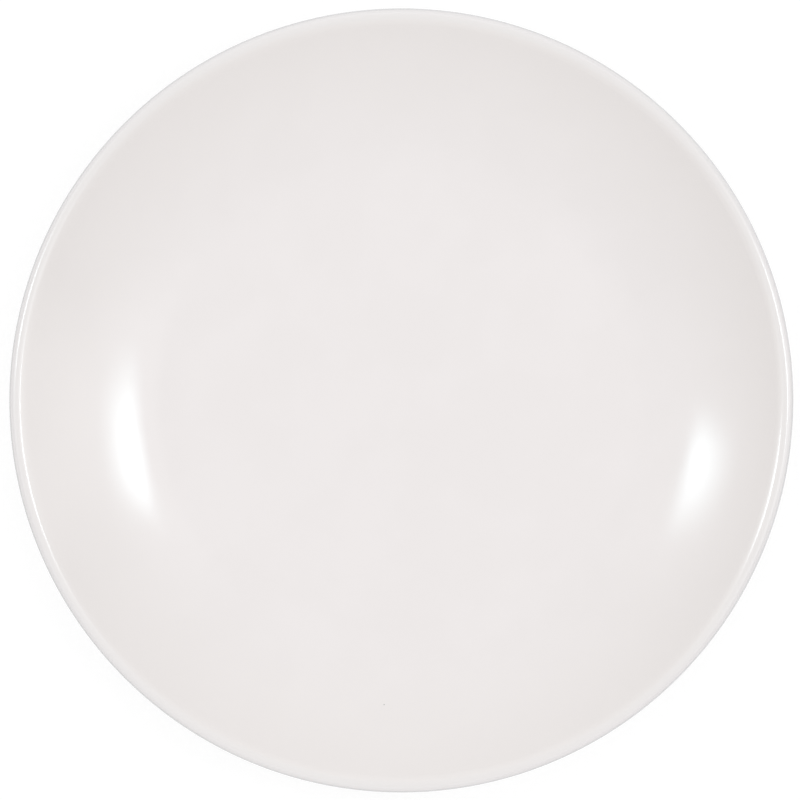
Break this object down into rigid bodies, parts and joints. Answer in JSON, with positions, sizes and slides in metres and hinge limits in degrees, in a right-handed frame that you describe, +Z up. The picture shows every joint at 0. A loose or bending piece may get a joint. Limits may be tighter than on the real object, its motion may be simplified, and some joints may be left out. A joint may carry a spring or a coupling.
{
  "type": "coupe dinner plate",
  "caption": "Round rimless dinner plate: a flat well that turns up through a soft knee into a sloping wall and a rolled lip, standing on a bare foot ring.",
  "frame": {"origin": "centre of the plane that the foot ring stands on", "axes": "+Z up, out of the eating face, along the axis that the plate is turned about; X and Y are alike"},
  "size_m": [0.27, 0.27, 0.0275],
  "materials": {
    "bare_china": "matte",
    "white_glaze": "polished"
  },
  "bodies": {
    "root": {"clay_body": "bare_china", "face_glaze": "white_glaze", "back_glaze": "white_glaze", "foot_well_glaze": "white_glaze"}
  },
  "joints": []
}
